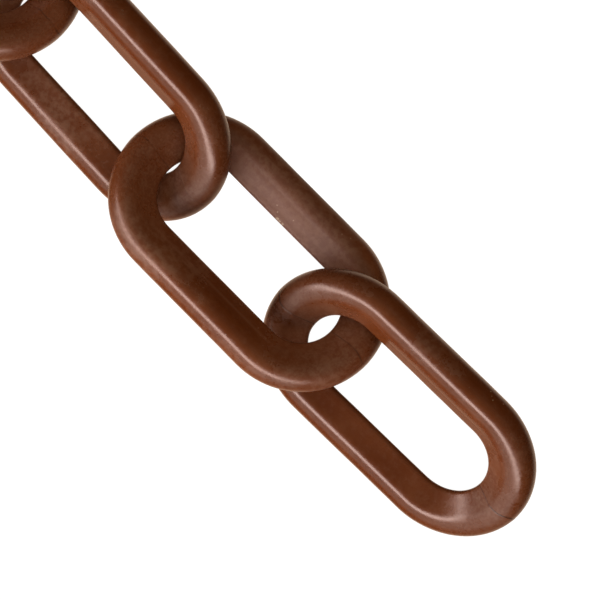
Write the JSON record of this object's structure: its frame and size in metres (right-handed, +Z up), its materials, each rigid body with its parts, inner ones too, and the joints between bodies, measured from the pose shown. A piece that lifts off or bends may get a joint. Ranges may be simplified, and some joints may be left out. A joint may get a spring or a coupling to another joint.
{
  "type": "plastic chain",
  "caption": "Length of moulded brown plastic chain with egg section links, each threaded through the next and leaning the other way.",
  "frame": {"origin": "on the floor, under the middle of the laid out length", "axes": "+X along the length towards link_01, the cut end seen in the picture, +Z up"},
  "size_m": [0.9968, 0.0346, 0.0185],
  "materials": {
    "brown_plastic_01": "satin",
    "brown_plastic_02": "satin",
    "brown_plastic_03": "satin",
    "brown_plastic_04": "satin",
    "brown_plastic_05": "satin",
    "brown_plastic_06": "satin",
    "brown_plastic_07": "satin",
    "brown_plastic_08": "satin",
    "brown_plastic_09": "satin",
    "brown_plastic_10": "satin",
    "brown_plastic_11": "satin",
    "brown_plastic_12": "satin",
    "brown_plastic_13": "satin",
    "brown_plastic_14": "satin",
    "brown_plastic_15": "satin",
    "brown_plastic_16": "satin",
    "brown_plastic_17": "satin",
    "brown_plastic_18": "satin",
    "brown_plastic_19": "satin",
    "brown_plastic_20": "satin",
    "brown_plastic_21": "satin",
    "brown_plastic_22": "satin",
    "brown_plastic_23": "satin",
    "brown_plastic_24": "satin"
  },
  "bodies": {
    "link_01": {"link_01": "brown_plastic_01"},
    "link_02": {"link_02": "brown_plastic_02"},
    "link_03": {"link_03": "brown_plastic_03"},
    "link_04": {"link_04": "brown_plastic_04"},
    "link_05": {"link_05": "brown_plastic_05"},
    "link_06": {"link_06": "brown_plastic_06"},
    "link_07": {"link_07": "brown_plastic_07"},
    "link_08": {"link_08": "brown_plastic_08"},
    "link_09": {"link_09": "brown_plastic_09"},
    "link_10": {"link_10": "brown_plastic_10"},
    "link_11": {"link_11": "brown_plastic_11"},
    "link_12": {"link_12": "brown_plastic_12"},
    "link_13": {"link_13": "brown_plastic_13"},
    "link_14": {"link_14": "brown_plastic_14"},
    "link_15": {"link_15": "brown_plastic_15"},
    "link_16": {"link_16": "brown_plastic_16"},
    "link_17": {"link_17": "brown_plastic_17"},
    "link_18": {"link_18": "brown_plastic_18"},
    "link_19": {"link_19": "brown_plastic_19"},
    "link_20": {"link_20": "brown_plastic_20"},
    "link_21": {"link_21": "brown_plastic_21"},
    "link_22": {"link_22": "brown_plastic_22"},
    "link_23": {"link_23": "brown_plastic_23"},
    "link_24": {"link_24": "brown_plastic_24"}
  },
  "joints": [
    {"name": "link_02_swing", "type": "hinge", "parent": "link_01", "child": "link_02", "pos_m": [0.45533, -0.00191, 0.00926], "axis": [0.0084, -0.4383, 0.8988], "range_deg": [-80, 80]},
    {"name": "link_03_swing", "type": "hinge", "parent": "link_02", "child": "link_03", "pos_m": [0.41646, -0.00106, 0.00926], "axis": [0.0008, 0.4384, 0.8988], "range_deg": [-80, 80]},
    {"name": "link_04_swing", "type": "hinge", "parent": "link_03", "child": "link_04", "pos_m": [0.37535, 0.00191, 0.00926], "axis": [0.0176, 0.438, -0.8988], "range_deg": [-80, 80]},
    {"name": "link_05_swing", "type": "hinge", "parent": "link_04", "child": "link_05", "pos_m": [0.33411, 0.00112, 0.00926], "axis": [0.01, -0.4383, -0.8988], "range_deg": [-80, 80]},
    {"name": "link_06_swing", "type": "hinge", "parent": "link_05", "child": "link_06", "pos_m": [0.29367, 0.00126, 0.00926], "axis": [-0.0039, -0.4384, 0.8988], "range_deg": [-80, 80]},
    {"name": "link_07_swing", "type": "hinge", "parent": "link_06", "child": "link_07", "pos_m": [0.25249, 0.0017, 0.00926], "axis": [0.0048, 0.4383, 0.8988], "range_deg": [-80, 80]},
    {"name": "link_08_swing", "type": "hinge", "parent": "link_07", "child": "link_08", "pos_m": [0.21159, 0.00099, 0.00926], "axis": [-0.0103, 0.4382, -0.8988], "range_deg": [-80, 80]},
    {"name": "link_09_swing", "type": "hinge", "parent": "link_08", "child": "link_09", "pos_m": [0.17124, 0.00151, 0.00926], "axis": [-0.009, -0.4383, -0.8988], "range_deg": [-80, 80]},
    {"name": "link_10_swing", "type": "hinge", "parent": "link_09", "child": "link_10", "pos_m": [0.13026, 0.00153, 0.00926], "axis": [0.0016, -0.4384, 0.8988], "range_deg": [-80, 80]},
    {"name": "link_11_swing", "type": "hinge", "parent": "link_10", "child": "link_11", "pos_m": [0.08913, 0.00098, 0.00926], "axis": [-0.0068, 0.4383, 0.8988], "range_deg": [-80, 80]},
    {"name": "link_12_swing", "type": "hinge", "parent": "link_11", "child": "link_12", "pos_m": [0.04874, 0.00168, 0.00926], "axis": [0.0107, 0.4382, -0.8988], "range_deg": [-80, 80]},
    {"name": "link_13_swing", "type": "hinge", "parent": "link_12", "child": "link_13", "pos_m": [0.00802, 0.00129, 0.00926], "axis": [0.0074, -0.4383, -0.8988], "range_deg": [-80, 80]},
    {"name": "link_14_swing", "type": "hinge", "parent": "link_13", "child": "link_14", "pos_m": [-0.03322, 0.0011, 0.00926], "axis": [0.0008, -0.4384, 0.8988], "range_deg": [-80, 80]},
    {"name": "link_15_swing", "type": "hinge", "parent": "link_14", "child": "link_15", "pos_m": [-0.07381, 0.00174, 0.00926], "axis": [0.0085, 0.4383, 0.8988], "range_deg": [-80, 80]},
    {"name": "link_16_swing", "type": "hinge", "parent": "link_15", "child": "link_16", "pos_m": [-0.11429, 0.00107, 0.00926], "axis": [-0.0105, 0.4382, -0.8988], "range_deg": [-80, 80]},
    {"name": "link_17_swing", "type": "hinge", "parent": "link_16", "child": "link_17", "pos_m": [-0.1555, 0.00132, 0.00926], "axis": [-0.0055, -0.4383, -0.8988], "range_deg": [-80, 80]},
    {"name": "link_18_swing", "type": "hinge", "parent": "link_17", "child": "link_18", "pos_m": [-0.19634, 0.00165, 0.00926], "axis": [-0.0032, -0.4384, 0.8988], "range_deg": [-80, 80]},
    {"name": "link_19_swing", "type": "hinge", "parent": "link_18", "child": "link_19", "pos_m": [-0.2367, 0.00096, 0.00926], "axis": [-0.0097, 0.4383, 0.8988], "range_deg": [-80, 80]},
    {"name": "link_20_swing", "type": "hinge", "parent": "link_19", "child": "link_20", "pos_m": [-0.27773, 0.00156, 0.00926], "axis": [0.0098, 0.4383, -0.8988], "range_deg": [-80, 80]},
    {"name": "link_21_swing", "type": "hinge", "parent": "link_20", "child": "link_21", "pos_m": [-0.31881, 0.00146, 0.00926], "axis": [0.0033, -0.4384, -0.8988], "range_deg": [-80, 80]},
    {"name": "link_22_swing", "type": "hinge", "parent": "link_21", "child": "link_22", "pos_m": [-0.35919, 0.001, 0.00926], "axis": [0.0054, -0.4383, 0.8988], "range_deg": [-80, 80]},
    {"name": "link_23_swing", "type": "hinge", "parent": "link_22", "child": "link_23", "pos_m": [-0.39997, 0.00172, 0.00926], "axis": [0.0105, 0.4382, 0.8988], "range_deg": [-80, 80]},
    {"name": "link_24_swing", "type": "hinge", "parent": "link_23", "child": "link_24", "pos_m": [-0.44119, 0.00123, 0.00926], "axis": [-0.0086, 0.4383, -0.8988], "range_deg": [-80, 80]}
  ]
}
